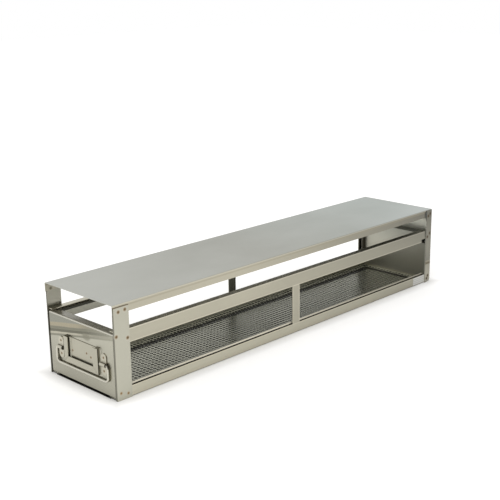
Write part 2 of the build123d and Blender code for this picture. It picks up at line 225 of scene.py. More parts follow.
def new_material(name):
    """An empty node material with its surface shader."""
    material = bpy.data.materials.new(name)
    material.use_nodes = True
    tree = material.node_tree
    tree.nodes.clear()
    output = tree.nodes.new("ShaderNodeOutputMaterial")
    shader = tree.nodes.new("ShaderNodeBsdfPrincipled")
    tree.links.new(shader.outputs["BSDF"], output.inputs["Surface"])
    return material, tree, shader


def maths(tree, operation, a, b=0.0):
    """The result of one sum on two numbers or sockets."""
    return add_node(tree, "ShaderNodeMath", {"operation": operation}, i0=a, i1=b).outputs[0]


def times(tree, first, *others):
    """The product of numbers or sockets."""
    for other in others:
        first = maths(tree, "MULTIPLY", first, other)
    return first


def largest(tree, first, *others):
    """The largest of numbers or sockets."""
    for other in others:
        first = maths(tree, "MAXIMUM", first, other)
    return first


def mix_colour(tree, factor, a, b):
    """A blend of two colours."""
    settings = {"data_type": "RGBA"}
    node = add_node(tree, "ShaderNodeMix", settings, i0=factor, i6=a, i7=b)
    return node.outputs[2]


def ramp(tree, value, low, high, to_low=0.0, to_high=1.0):
    """A number carried from one range to another, and held inside it."""
    node = add_node(tree, "ShaderNodeMapRange", {"clamp": True}, Value=value)
    node.inputs["From Min"].default_value = low
    node.inputs["From Max"].default_value = high
    node.inputs["To Min"].default_value = to_low
    node.inputs["To Max"].default_value = to_high
    return node.outputs[0]


def fall(tree, value, low, high, to_high=0.0):
    """1 up to the low value, falling to 0 or to another level at the high one."""
    return ramp(tree, value, low, high, 1.0, to_high)


def between(tree, value, low, high, soft):
    """1 from the low to the high value, with soft ends."""
    rise = ramp(tree, value, low - soft, low + soft)
    return times(tree, rise, fall(tree, value, high - soft, high + soft))


def stripe(tree, value, centre, half):
    """1 where the value is at the centre, falling to 0 at half a width on either side."""
    away = maths(tree, "ABSOLUTE", maths(tree, "SUBTRACT", value, centre))
    return fall(tree, away, 0.0, half)


def noise(tree, coords, stretch, detail=3.0):
    """Noise in the rack's frame; stretch is how many features fit in a metre on each axis."""
    mapping = add_node(tree, "ShaderNodeMapping", None, Vector=coords, Scale=stretch)
    texture = add_node(
        tree, "ShaderNodeTexNoise", None, Vector=mapping.outputs[0], Scale=1.0, Detail=detail
    )
    return texture.outputs["Fac"]


def near_points(tree, coords, points, inner, outer):
    """1 close to any of the points, falling to 0 at the outer distance."""
    levels = []
    for point in points:
        settings = {"operation": "DISTANCE"}
        gap = add_node(tree, "ShaderNodeVectorMath", settings, i0=coords, i1=point)
        levels.append(fall(tree, gap.outputs["Value"], inner, outer))
    return largest(tree, *levels)


def tint(tree, base, factor, colour, strength=1.0):
    """Lays a colour over the base, as much as the factor and the strength say."""
    share = factor if strength == 1.0 else times(tree, factor, strength)
    return mix_colour(tree, share, base, (*colour, 1.0))


class Place:
    """Where a point of the surface is, and its normal's share on each axis, as sockets."""

    def __init__(self, tree):
        coords = add_node(tree, "ShaderNodeTexCoord")
        self.point = coords.outputs["Object"]
        spot = add_node(tree, "ShaderNodeSeparateXYZ", None, Vector=self.point)
        face = add_node(tree, "ShaderNodeSeparateXYZ", None, Vector=coords.outputs["Normal"])
        self.x, self.y, self.z = spot.outputs
        self.face_x, self.face_y, self.face_z = face.outputs


def facing_along(tree, share, partly=0.5, mostly=0.9):
    """1 where most of the normal lies along an axis."""
    return ramp(tree, share, partly, mostly)


def facing_against(tree, share, partly=0.5, mostly=0.9):
    """1 where most of the normal lies along an axis, but the other way."""
    return fall(tree, share, -mostly, -partly)


def outward(tree, place):
    """How much a surface on one of the rack's long sides faces away from the rack."""
    return times(tree, place.face_x, maths(tree, "SIGN", place.x))


# Marks that more than one piece has: weld spots, and painted shade


def strip_spots(middle_y, table, inset=0.0):
    """Weld spots on an upright strip's outer faces, or on what lies an inset behind them."""
    points = []
    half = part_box("front_post_right")[1].x - inset
    for seam, places in table.items():
        for back, up in places:
            for side in (-1, 1):
                points.append((side * half, middle_y + back * MM, (SEAMS[seam] + up) * MM))
    return points


def heat_spots(tree, place, base, points, size=1.0, depth=1.0):
    """Brown heat marks of spot welds; only those of the usual depth have the pale ring."""
    marks = SPOT_MARKS if depth == 1.0 else SPOT_MARKS[1:]
    for inner, outer, colour, strength in marks:
        mark = near_points(tree, place.point, points, inner * size * MM, outer * size * MM)
        base = tint(tree, base, mark, tuple(c * depth for c in colour), strength)
    return base


def rear_shade(tree, place, base):
    """Painted shade on the long sides, which deepens towards the upper rear."""
    back = ramp(tree, place.y, -120.0 * MM, 360.0 * MM)
    height = ramp(tree, place.z, 0.0, 120.0 * MM, 0.38, 1.0)
    return tint(tree, base, times(tree, back, height), REAR_SHADE_TONE, 0.97)


def slot_height(tree, place):
    """The height of the relief slots between the cover's flanges and the back panel's, where
    shade is painted.
    """
    return between(tree, place.z, 113.5 * MM, 123.0 * MM, 0.5 * MM)


# Materials


def steel(name, colour, roughness, grain, paint, dull=None, polish=None):
    """Mill-finish stainless sheet: rolling streaks and faint smudges, then its own marks, mostly
    painted light and shade. Dull says where it mirrors less, and polish where it is smoother."""
    material, tree, shader = new_material(name)
    place = Place(tree)
    fine = noise(tree, place.point, grain)
    wide = noise(tree, place.point, SMUDGES, 4.0)
    streaked = tuple(c * STREAK_TONE for c in colour)
    smudged = tuple(c * SMUDGE_TONE for c in colour)
    base = tint(tree, (*colour, 1.0), ramp(tree, fine, 0.35, 0.75), streaked)
    base = tint(tree, base, ramp(tree, wide, 0.35, 0.7), smudged)
    # The piece's marks: spot welds, and painted light and shade
    base = paint(tree, place, base)
    tree.links.new(base, shader.inputs["Base Color"])
    rough = ramp(tree, wide, 0.3, 0.7, roughness - ROUGH_SPREAD, roughness + ROUGH_SPREAD)
    if polish:
        rest = maths(tree, "MULTIPLY_ADD", polish(tree, place), -POLISH_SHARE)
        rest.node.inputs[2].default_value = 1.0
        rough = times(tree, rough, rest)
    tree.links.new(rough, shader.inputs["Roughness"])
    if dull:
        bright = maths(tree, "SUBTRACT", 1.0, dull(tree, place))
        tree.links.new(bright, shader.inputs["Metallic"])
    else:
        shader.inputs["Metallic"].default_value = 1.0
    bump = add_node(
        tree, "ShaderNodeBump", None, Strength=GRAIN_STRENGTH, Distance=GRAIN_DEPTH, Height=fine
    )
    tree.links.new(bump.outputs[0], shader.inputs["Normal"])
    return material


def label_material():
    """Matt white label stock with a few faint ruled lines."""
    material, tree, shader = new_material("label_paper")
    place = Place(tree)
    phase = maths(tree, "MODULO", place.z, RULE_PITCH)
    rule = stripe(tree, phase, RULE_PITCH / 2, RULE_PITCH / 4)
    fibre = noise(tree, place.point, PAPER_FIBRE)
    paper = mix_colour(tree, fibre, (0.52, 0.52, 0.48, 1.0), (0.62, 0.62, 0.58, 1.0))
    base = tint(tree, paper, rule, (0.3, 0.3, 0.32), 0.7)
    tree.links.new(base, shader.inputs["Base Color"])
    tree.links.new(ramp(tree, fibre, 0.3, 0.7, 0.45, 0.6), shader.inputs["Roughness"])
    return material


def paint_cover(tree, place, base):
    """Painted reflection: cooler to the rear on top and warm on the folded sides; painted shade
    along the fold, beside the relief slots and below, a painted highlight on the fold's crest,
    and the backs of the posts' weld spots."""
    # Painted reflection: the top's tone shifts from the front to the rear and the right-hand rear
    # corner
    rear = ramp(tree, place.y, -50.0 * MM, 300.0 * MM)
    base = tint(tree, base, rear, (0.37, 0.405, 0.377), 0.9)
    front = fall(tree, place.y, FRONT_END, -50.0 * MM)
    base = tint(tree, base, front, (0.45, 0.455, 0.415), 0.9)
    right = ramp(tree, place.x, 0.0, 70.0 * MM)
    corner = times(tree, right, ramp(tree, place.y, 150.0 * MM, REAR_END))
    base = tint(tree, base, corner, (0.44, 0.47, 0.45), 0.9)

    # Painted reflection of warm surroundings on the folded sides, with painted shade to the rear
    warm = rear_shade(tree, place, (0.45, 0.425, 0.34, 1.0))
    # Painted shade along the fold, and a painted highlight on its crest
    fold = stripe(tree, place.z, 121.8 * MM, 1.6 * MM)
    warm = tint(tree, warm, fold, (0.3, 0.27, 0.2), 0.5)
    crest = stripe(tree, place.z, 124.2 * MM, 0.8 * MM)
    warm = tint(tree, warm, crest, (0.6, 0.57, 0.47), 0.6)
    # Painted shade beside the relief slots
    slot = between(tree, place.y, BACK_FRONT - 4.4 * MM, BACK_FRONT - 1.0 * MM, 0.2 * MM)
    slot = times(tree, slot, slot_height(tree, place))
    warm = tint(tree, warm, slot, (0.02, 0.018, 0.012), 0.75)
    sides = facing_along(tree, maths(tree, "ABSOLUTE", place.face_x))
    base = mix_colour(tree, sides, base, warm)

    inside = strip_spots(POST_MIDDLE, {"cover": POST_SPOTS["cover"]}, WELDED_THICKNESS)
    marks = near_points(tree, place.point, inside, 1.0 * MM, 3.2 * MM)
    base = tint(tree, base, marks, (0.1, 0.09, 0.06), 0.8)
    # Painted shade on the faces that look down
    return tint(tree, base, facing_against(tree, place.face_z), (0.2, 0.2, 0.17), 0.8)


def paint_post(tree, place, base):
    """Painted shade, a little darker upwards and inside, a brown painted shadow line along the
    upper end and a dark front lip in painted shade; and spot welds."""
    # Painted shade, deeper upwards
    upper = ramp(tree, place.z, 30.0 * MM, 115.0 * MM)
    base = tint(tree, base, upper, (0.435, 0.425, 0.355), 0.9)
    # Painted shade on the inner faces
    inner = facing_against(tree, outward(tree, place))
    base = tint(tree, base, inner, (0.36, 0.35, 0.29), 0.7)
    # Painted shadow line along the upper end, under the cover's fold
    end = ramp(tree, place.z, POST_TOP - 1.1 * MM, POST_TOP - 0.5 * MM)
    base = tint(tree, base, end, (0.13, 0.09, 0.05), 0.85)
    # Painted shade on the front lip, deepest on the left-hand post
    left = fall(tree, place.x, -20.0 * MM, 20.0 * MM, 0.75)
    lip = times(tree, facing_against(tree, place.face_y), left)
    base = tint(tree, base, lip, (0.05, 0.047, 0.035), 0.85)
    strong = {seam: POST_SPOTS[seam] for seam in ("cover", "rail")}
    base = heat_spots(tree, place, base, strip_spots(POST_MIDDLE, strong), 1.2)
    faint = {"bottom": POST_SPOTS["bottom"]}
    return heat_spots(tree, place, base, strip_spots(POST_MIDDLE, faint), 0.95, 1.6)


def paint_side(tree, place, base):
    """The long sides: painted shade falling off to the rear, painted highlights along the cut
    edges and on the bottom rail, and painted shade along the foot, inside and on the bottom
    flange."""
    base = rear_shade(tree, place, base)
    window = between(tree, place.z, *WINDOW, 1.0 * MM)
    # Painted highlights along the cut edges and the mid post's edges, fading to the rear
    edges = [stripe(tree, place.z, height, 1.0 * MM) for height in CUT_EDGES]
    turned = times(tree, place.y, maths(tree, "SIGN", place.x))
    for edge in MID_POST_EDGES:
        edges.append(times(tree, stripe(tree, turned, edge, 1.6 * MM), window))
    faded = ramp(tree, place.y, -200.0 * MM, 300.0 * MM, 0.8, 0.35)
    base = tint(tree, base, times(tree, largest(tree, *edges), faded), (0.66, 0.62, 0.5))

    # Painted highlight on the bottom rail, strongest low down and at the front
    rail = times(
        tree,
        between(tree, place.z, 0.0, BOTTOM_RAIL, 0.1 * MM),
        fall(tree, place.z, 0.0, BOTTOM_RAIL, 0.45),
        fall(tree, place.y, FRONT_END, REAR_END, 0.08),
    )
    base = tint(tree, base, rail, (0.6, 0.575, 0.465), 0.9)
    # Painted shade along the foot
    foot = stripe(tree, place.z, 0.0, 1.6 * MM)
    base = tint(tree, base, foot, (0.2, 0.19, 0.15), 0.6)

    # Painted shade on the inner faces in the windows, less at the rear
    inner = facing_against(tree, outward(tree, place))
    inner = times(tree, inner, window, fall(tree, place.y, 250.0 * MM, 300.0 * MM, 0.2))
    base = tint(tree, base, inner, (0.1, 0.09, 0.065), 0.8)
    # Painted shade on the bottom flange's faces that look up or forward
    faces = largest(
        tree, facing_along(tree, place.face_z), facing_against(tree, place.face_y)
    )
    low = fall(tree, place.z, BOTTOM_FLANGE, BOTTOM_FLANGE + 1.0 * MM)
    return tint(tree, base, times(tree, faces, low), DEEP_SHADE, 0.9)


def paint_sill(tree, place, base):
    """The cross ties: dark above and to the front, in the shade of the drawer."""
    faces = largest(
        tree, facing_against(tree, place.face_y), facing_along(tree, place.face_z)
    )
    return tint(tree, base, faces, (0.015, 0.014, 0.01), 0.93)


def paint_back(tree, place, base):
    """The back panel: on each flange a dark brown band along the weld bead, a painted highlight
    on the rim above it and painted shade above that; painted light on the inner face with painted
    shade at its top; painted shade on the flanges' inner faces, the cut edges and the relief
    slots; and spot welds."""
    base = rear_shade(tree, place, base)
    flange = ramp(tree, maths(tree, "ABSOLUTE", place.x), 70.8 * MM, 71.4 * MM)
    # Painted shade on each flange above the bead
    above = times(
        tree,
        flange,
        ramp(tree, place.z, 36.0 * MM, 37.0 * MM),
        ramp(tree, place.z, 38.0 * MM, 64.0 * MM, 0.62, 0.1),
    )
    base = tint(tree, base, above, REAR_SHADE_TONE)
    # Painted highlight on the rim above the bead
    rim = between(tree, place.z, 36.0 * MM, 37.6 * MM, 0.4 * MM)
    base = tint(tree, base, times(tree, rim, flange), (0.3, 0.27, 0.2), 0.7)
    bead = between(tree, place.z, 31.4 * MM, 35.2 * MM, 0.6 * MM)
    base = tint(tree, base, times(tree, bead, flange), (0.11, 0.09, 0.05), 0.9)

    # Painted light on the inner face, and painted shade at its top
    inner = facing_against(tree, place.face_y)
    base = tint(tree, base, inner, (0.93, 0.93, 0.81), 0.95)
    shade = times(tree, inner, ramp(tree, place.z, 105.0 * MM, 109.0 * MM))
    base = tint(tree, base, shade, DEEP_SHADE, 0.9)
    # Painted shade on the flanges' inner faces
    wing_shade = facing_against(tree, outward(tree, place))
    base = tint(tree, base, wing_shade, (0.13, 0.128, 0.1), 0.9)

    # Painted shade along the flanges' cut front edges and in the relief slots
    front = fall(tree, place.y, BACK_FRONT + 0.5 * MM, BACK_FRONT + 1.4 * MM)
    front = times(tree, flange, front, ramp(tree, place.x, 0.0, 10.0 * MM))
    base = tint(tree, base, front, (0.08, 0.075, 0.06), 0.75)
    slot = fall(tree, place.y, BACK_FRONT + 0.4 * MM, BACK_FRONT + 1.0 * MM)
    slot = times(tree, slot, slot_height(tree, place), flange)
    base = tint(tree, base, slot, (0.012, 0.012, 0.009), 0.9)
    return heat_spots(tree, place, base, strip_spots(BACK_MIDDLE, BACK_SPOTS), 1.3, 0.35)


def dull_back(tree, place):
    """The back panel's inner face is duller than its outer one."""
    return times(tree, facing_against(tree, place.face_y), 0.6)


def front_plate(tree, place):
    """The drawer front's own face, with its folds."""
    return facing_against(tree, place.face_y, 0.4)


def beside_holder(tree, place):
    """The drawer front's strip just to the right of the card holder, where light is painted."""
    low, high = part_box("card_holder")
    across = between(tree, place.x, high.x, high.x + 4.0 * MM, 0.4 * MM)
    height = between(tree, place.z, low.z, high.z, 1.0 * MM)
    return times(tree, across, height, front_plate(tree, place))


def paint_front(tree, place, base):
    """The drawer front: painted shade low down, painted reflection bands that fade to the right,
    a smudge, a painted shadow by the left bracket, painted light on the strip by the holder,
    painted shade on the upper flange, and a painted highlight on the upper fold."""
    # Painted shade on the lower part, strongest to the left
    lower = times(
        tree,
        fall(tree, place.z, 15.0 * MM, 75.0 * MM),
        ramp(tree, place.z, 0.0, 16.0 * MM, 0.25, 1.0),
        fall(tree, place.x, -50.0 * MM, 60.0 * MM, 0.45),
    )
    base = tint(tree, base, lower, (0.33, 0.32, 0.265), 0.85)

    plate = front_plate(tree, place)
    # Painted reflection bands, which rise to the right and fade that way
    shift = times(
        tree, maths(tree, "SUBTRACT", noise(tree, place.point, WAVER), 0.5), BAND_WAVER
    )
    level = maths(tree, "SUBTRACT", place.z, times(tree, place.x, BAND_SLOPE))
    level = maths(tree, "ADD", level, shift)
    broad = times(tree, plate, ramp(tree, place.x, 10.0 * MM, 70.0 * MM, 0.95, 0.45))
    left = fall(tree, place.x, -10.0 * MM, 30.0 * MM)
    for low, high, colour, only_left in REFLECTION_BANDS:
        share = times(tree, between(tree, level, low * MM, high * MM, 0.4 * MM), broad)
        if only_left:
            share = times(tree, share, left)
        base = tint(tree, base, share, colour)

    (x, z), (across, up) = SMUDGE_MIDDLE, SMUDGE_RADII
    offset = add_node(
        tree,
        "ShaderNodeMapping",
        None,
        Vector=place.point,
        Location=(-x / across, 0.0, -z / up),
        Scale=(1 / across, 0.0, 1 / up),
    )
    away = add_node(tree, "ShaderNodeVectorMath", {"operation": "LENGTH"}, i0=offset.outputs[0])
    smudge = fall(tree, away.outputs["Value"], 0.7, 1.2)
    base = tint(tree, base, smudge, (0.22, 0.213, 0.165), 0.75)

    # Painted shadow by the left bracket
    gap = (-40.5 * MM, DRAWER_FACE, 44.5 * MM)
    base = tint(
        tree, base, near_points(tree, place.point, [gap], 3.0 * MM, 5.0 * MM), BLACK_SHADE, 0.95
    )
    # Painted light on the strip by the holder
    base = tint(tree, base, beside_holder(tree, place), (0.6, 0.585, 0.49), 0.95)
    # Painted shade on the faces that look up
    upper = facing_along(tree, place.face_z, 0.75, 0.95)
    base = tint(tree, base, upper, (0.24, 0.225, 0.17), 0.85)
    # Painted highlight on the upper fold
    fold = stripe(tree, place.z, 86.0 * MM, 1.2 * MM)
    return tint(tree, base, times(tree, fold, plate), (0.8, 0.77, 0.68), 0.9)


def dull_front(tree, place):
    """The drawer front's upper fold, flange and the strip by the holder are less mirror-like."""
    upper = ramp(tree, place.z, 84.6 * MM, 85.4 * MM, 0.0, 0.6)
    return largest(tree, upper, times(tree, beside_holder(tree, place), 0.8))


def highlight_strip(tree, place):
    """The strip along the drawer sides' lower bands, where a highlight is painted."""
    outer = facing_along(tree, outward(tree, place))
    return times(tree, outer, between(tree, place.z, STRIP_FOOT, STRIP_TOP, 0.2 * MM))


def top_flange(tree, place):
    """The upper sides of the drawer's top flanges, where shade is painted."""
    upper = facing_along(tree, place.face_z)
    return times(tree, upper, ramp(tree, place.z, TOP_FLANGE, TOP_FLANGE + 2.0 * MM))


def paint_drawer(tree, place, base):
    """The drawer's sides and back: painted shade on the flanges and inside, a painted highlight
    on the strip above painted shade along the foot outside, painted shade at a slot and a notch
    at the rear, and painted light on the wall and a painted highlight on the fold there."""
    inner = facing_against(tree, outward(tree, place))
    outer = facing_along(tree, outward(tree, place))
    # Painted shade on the inner faces just under the top flanges
    bend_shade = times(tree, inner, between(tree, place.z, 80.8 * MM, 100.0 * MM, 0.3 * MM))
    base = tint(tree, base, bend_shade, (0.02, 0.02, 0.015), 0.9)
    # Painted shade on the inner faces
    end = times(tree, inner, between(tree, place.z, 17.0 * MM, 67.0 * MM, 1.0 * MM))
    base = tint(tree, base, end, (0.15, 0.147, 0.118), 0.95)

    # Painted shade along the foot outside, and a painted highlight on the strip above it, fading
    # to the rear
    foot = between(tree, place.z, STRIP_FOOT - 2.0 * MM, STRIP_FOOT, 0.1 * MM)
    base = tint(tree, base, times(tree, outer, foot), (0.012, 0.011, 0.008), 0.97)
    strip = highlight_strip(tree, place)
    base = tint(tree, base, strip, (0.92, 0.87, 0.72), 0.95)
    faded = times(tree, strip, ramp(tree, place.y, -50.0 * MM, 300.0 * MM))
    base = tint(tree, base, faded, (0.3, 0.285, 0.22), 0.9)
    # Painted shade at the rear slot
    slot = times(
        tree,
        between(tree, place.z, 64.0 * MM, 79.0 * MM, 0.4 * MM),
        ramp(tree, place.y, 312.0 * MM, 314.0 * MM),
        outer,
    )
    base = tint(tree, base, slot, BLACK_SHADE, 0.97)

    # Painted shade on the top flanges and on the lower faces that look up
    base = tint(tree, base, top_flange(tree, place), (0.035, 0.034, 0.027), 0.93)
    low = fall(tree, place.z, TOP_FLANGE, TOP_FLANGE + 2.0 * MM)
    low = times(tree, facing_along(tree, place.face_z), low)
    base = tint(tree, base, low, (0.03, 0.03, 0.025), 0.9)

    # Painted light on the rear wall's front face, and a painted highlight on its lower fold
    front = facing_against(tree, place.face_y)
    wall = times(tree, front, ramp(tree, place.z, 50.0 * MM, 80.0 * MM))
    base = tint(tree, base, wall, (0.35, 0.357, 0.31), 0.9)
    fold = times(tree, front, stripe(tree, place.z, 4.0 * MM, 2.5 * MM))
    base = tint(tree, base, fold, (0.5, 0.47, 0.36), 0.7)
    # Painted shade at the notch
    notch = times(
        tree,
        between(tree, place.z, 64.5 * MM, 69.5 * MM, 0.3 * MM),
        ramp(tree, place.x, 54.0 * MM, 55.0 * MM),
        front,
    )
    return tint(tree, base, notch, BLACK_SHADE, 0.95)


def behind_lip(tree, place):
    """The card holder's back plate just inside its left-hand lip, where light is painted."""
    low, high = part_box("card_holder")
    across = between(tree, place.x, low.x + 10.0 * MM, low.x + 13.5 * MM, 0.4 * MM)
    return times(tree, across, ramp(tree, place.y, high.y - 1.4 * MM, high.y - 1.1 * MM))


def dull_holder(tree, place):
    """The back plate's left-hand end is less mirror-like."""
    return times(tree, behind_lip(tree, place), 0.8)


def paint_holder(tree, place, base):
    """The card holder: painted shade on the right-hand wall, painted light on the strip behind
    the left-hand lip, painted shade on the upper edge, and brown spot welds."""
    low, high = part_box("card_holder")
    # Painted shade on the right-hand wall
    wall = times(
        tree,
        facing_along(tree, place.face_x, 0.5, 0.85),
        ramp(tree, place.x, high.x - 0.6 * MM, high.x - 0.3 * MM),
        between(tree, place.y, low.y + 0.6 * MM, low.y + 2.2 * MM, 0.2 * MM),
    )
    base = tint(tree, base, wall, (0.03, 0.024, 0.015), 0.92)
    # Painted light behind the left-hand lip
    base = tint(tree, base, behind_lip(tree, place), (0.62, 0.6, 0.49), 0.95)
    # Painted shade on the upper edge
    upper = ramp(tree, place.z, high.z - 1.0 * MM, high.z - 0.5 * MM)
    upper = times(tree, facing_along(tree, place.face_z, 0.5, 0.85), upper)
    base = tint(tree, base, upper, (0.09, 0.07, 0.045), 0.55)
    centre = (low.x + high.x) / 2
    spots = [(centre + x * MM, high.y - 1.0 * MM, low.z + z * MM) for x, z in HOLDER_SPOTS]
    return heat_spots(tree, place, base, spots, 0.85)


def paint_bracket(tree, place, base):
    """The brackets: brown painted shade on the edges on top and to the right, two brown spot
    welds each, and painted shade at the left one's inner end."""
    # Painted shade on the faces that look up or to the right
    edges = largest(
        tree,
        facing_along(tree, place.face_x, 0.6, 0.9),
        facing_along(tree, place.face_z, 0.75, 0.95),
    )
    base = tint(tree, base, edges, (0.1, 0.075, 0.05), 0.75)
    spots = []
    for side in ("left", "right"):
        bracket = middle(f"handle_bracket_{side}")
        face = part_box(f"handle_bracket_{side}")[1].y - 1.0 * MM
        spots += [(bracket.x, face, bracket.z + up * MM) for up in BRACKET_SPOTS]
    base = heat_spots(tree, place, base, spots, 0.85)
    # Painted shade at the left bracket's inner end
    left = middle("handle_bracket_left")
    end = (left.x + 5.3 * MM, left.y, left.z)
    shade = near_points(tree, place.point, [end], 1.6 * MM, 3.2 * MM)
    return tint(tree, base, shade, BLACK_SHADE, 0.95)


def paint_wire(tree, place, base):
    """The bail: painted shade on its upper and right-hand sides, and where it leaves the
    right-hand bracket."""
    # Painted shade on the faces that look up and to the right
    lean = maths(tree, "ADD", place.face_x, place.face_z)
    base = tint(tree, base, ramp(tree, lean, 0.9, 1.2), (0.05, 0.042, 0.03), 0.85)
    # Painted shade where it leaves the right-hand bracket
    right = middle("handle_bracket_right")
    end = (right.x + 6.0 * MM, right.y, right.z)
    shade = near_points(tree, place.point, [end], 1.0 * MM, 2.4 * MM)
    return tint(tree, base, shade, BLACK_SHADE, 0.9)


def rim_distance(tree, place):
    """How far out on the sheet, set so that the row of painted shade is at the same distance at
    its end.
    """
    end = maths(tree, "SUBTRACT", place.y, END_ROW - SIDE_ROW)
    return largest(tree, maths(tree, "ABSOLUTE", place.x), end)


def dark_row(tree, place):
    """The row of holes over the flanges' inner edges, where shade is painted."""
    rim = rim_distance(tree, place)
    return between(tree, rim, SIDE_ROW - ROW_HALF, SIDE_ROW + ROW_HALF, 0.6 * MM)


def dull_perforated(tree, place):
    """The sheet is worn dull, but not in its holes or along the dark row."""
    flat = ramp(tree, maths(tree, "ABSOLUTE", place.face_z), 0.3, 0.7)
    clear = maths(tree, "SUBTRACT", 1.0, dark_row(tree, place))
    return times(tree, flat, clear, 0.45)


def paint_perforated(tree, place, base):
    """The perforated sheet: painted shade half way along, painted light over the drawer's
    flanges, painted shade along their edges and in its holes, and black painted shade at its
    front edge."""
    # Painted shade half way along
    half_way_shade = between(tree, place.y, -150.0 * MM, 250.0 * MM, 150.0 * MM)
    base = tint(tree, base, half_way_shade, (0.315, 0.314, 0.244), 0.9)
    # Painted light over the drawer's flanges
    rim = rim_distance(tree, place)
    outer = ramp(tree, rim, SIDE_ROW + ROW_HALF, SIDE_ROW + ROW_HALF + 1.0 * MM)
    base = tint(tree, base, outer, (0.66, 0.66, 0.55), 0.9)
    # Painted shade along the flanges' inner edges
    base = tint(tree, base, dark_row(tree, place), BLACK_SHADE, 0.95)
    # Painted shade in the holes
    shaded_walls = fall(tree, maths(tree, "ABSOLUTE", place.face_z), 0.3, 0.7)
    base = tint(tree, base, shaded_walls, DEEP_SHADE, 0.9)
    # Black painted shade at the front edge
    front = times(tree, shaded_walls, fall(tree, place.y, SHEET_FRONT, SHEET_FRONT + 0.5 * MM))
    return tint(tree, base, front, BLACK_SHADE, 0.95)


def dress(names, material):
    """Gives the material to every slot of the CAD nodes."""
    for name in names:
        for slot in nodes[name].material_slots:
            slot.material = material


# The drawer's floor


def pierced(mesh, corners, ring):
    """The faces between a square's corners and the ring of a round hole in it."""
    quarter = len(ring) // 4
    for k in range(4):
        for step in range(quarter):
            first = k * quarter + step
            mesh.faces.new((corners[k], ring[first], ring[(first + 1) % len(ring)]))
        mesh.faces.new((corners[k], corners[(k + 1) % 4], ring[(k + 1) * quarter % len(ring)]))


def grid_lines(half):
    """Where the squares of the hole pattern begin and end, from edge to edge."""
    count = 2 * int((half - SHEET_BORDER) / HOLE_PITCH)
    return [-half] + [(i - count / 2) * HOLE_PITCH for i in range(count + 1)] + [half]


def hole_circle():
    """A hole's points, around its middle."""
    circle = []
    for step in range(HOLE_SEGMENTS):
        turn = 2 * math.pi * step / HOLE_SEGMENTS - math.pi
        circle.append((HOLE_DIAMETER / 2 * math.cos(turn), HOLE_DIAMETER / 2 * math.sin(turn)))
    return circle


def border(last_x, last_y):
    """The grid's outermost places, in order around the sheet."""
    walk = [(i, 0) for i in range(last_x)] + [(last_x, j) for j in range(last_y)]
    walk += [(i, last_y) for i in range(last_x, 0, -1)] + [(0, j) for j in range(last_y, 0, -1)]
    return walk


def perforated_floor():
    """The drawer's floor: a sheet with its true pattern of small holes in straight rows."""
    low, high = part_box("perforated_floor")
    centre = (low + high) / 2
    across = grid_lines((high.x - low.x) / 2)
    along = grid_lines((high.y - low.y) / 2)
    last_x = len(across) - 1
    last_y = len(along) - 1
    circle = hole_circle()
    mesh = bmesh.new()
    top, base = (
        [[mesh.verts.new((centre.x + x, centre.y + y, z)) for y in along] for x in across]
        for z in (high.z, low.z)
    )
    for i in range(last_x):
        for j in range(last_y):
            corners = ((i, j), (i + 1, j), (i + 1, j + 1), (i, j + 1))
            upper = [top[a][b] for a, b in corners]
            lower = [base[a][b] for a, b in corners]
            if i in (0, last_x - 1) or j in (0, last_y - 1):
                mesh.faces.new(upper)
                mesh.faces.new(lower[::-1])
                continue
            x = centre.x + (across[i] + across[i + 1]) / 2
            y = centre.y + (along[j] + along[j + 1]) / 2
            ring_top = [mesh.verts.new((x + a, y + b, high.z)) for a, b in circle]
            ring_base = [mesh.verts.new((x + a, y + b, low.z)) for a, b in circle]
            pierced(mesh, upper, ring_top)
            pierced(mesh, lower, ring_base)
            for k in range(HOLE_SEGMENTS):
                n = (k + 1) % HOLE_SEGMENTS
                mesh.faces.new((ring_top[k], ring_top[n], ring_base[n], ring_base[k]))
    walk = border(last_x, last_y)
    for (a, b), (c, d) in zip(walk, walk[1:] + walk[:1]):
        mesh.faces.new((top[a][b], base[a][b], base[c][d], top[c][d]))
    bmesh.ops.recalc_face_normals(mesh, faces=mesh.faces)
    data = bpy.data.meshes.new("perforated_sheet")
    mesh.to_mesh(data)
    mesh.free()
    sheet = bpy.data.objects.new("perforated_sheet", data)
    bpy.context.scene.collection.objects.link(sheet)
    return sheet


# The studio


def seen_directly(tree):
    """1 for what the camera sees itself, in metal or through glass."""
    path = tree.nodes.new("ShaderNodeLightPath")
    rays = ("Is Camera Ray", "Is Glossy Ray", "Is Transmission Ray")
    return largest(tree, *(path.outputs[ray] for ray in rays))


def white_room():
    """An even world that shows as plain white."""
    world = bpy.data.worlds.new("studio")
    bpy.context.scene.world = world
    world.use_nodes = True
    tree = world.node_tree
    tree.nodes.clear()
    output = tree.nodes.new("ShaderNodeOutputWorld")
    light, white = (
        add_node(tree, "ShaderNodeBackground", None, Color=colour, Strength=strength)
        for colour, strength in (((1.0, 0.99, 0.97, 1.0), 0.8), ((1.0, 1.0, 1.0, 1.0), 1.0))
    )
    mixed = add_node(
        tree,
        "ShaderNodeMixShader",
        None,
        i0=seen_directly(tree),
        i1=light.outputs[0],
        i2=white.outputs[0],
    )
    tree.links.new(mixed.outputs[0], output.inputs["Surface"])


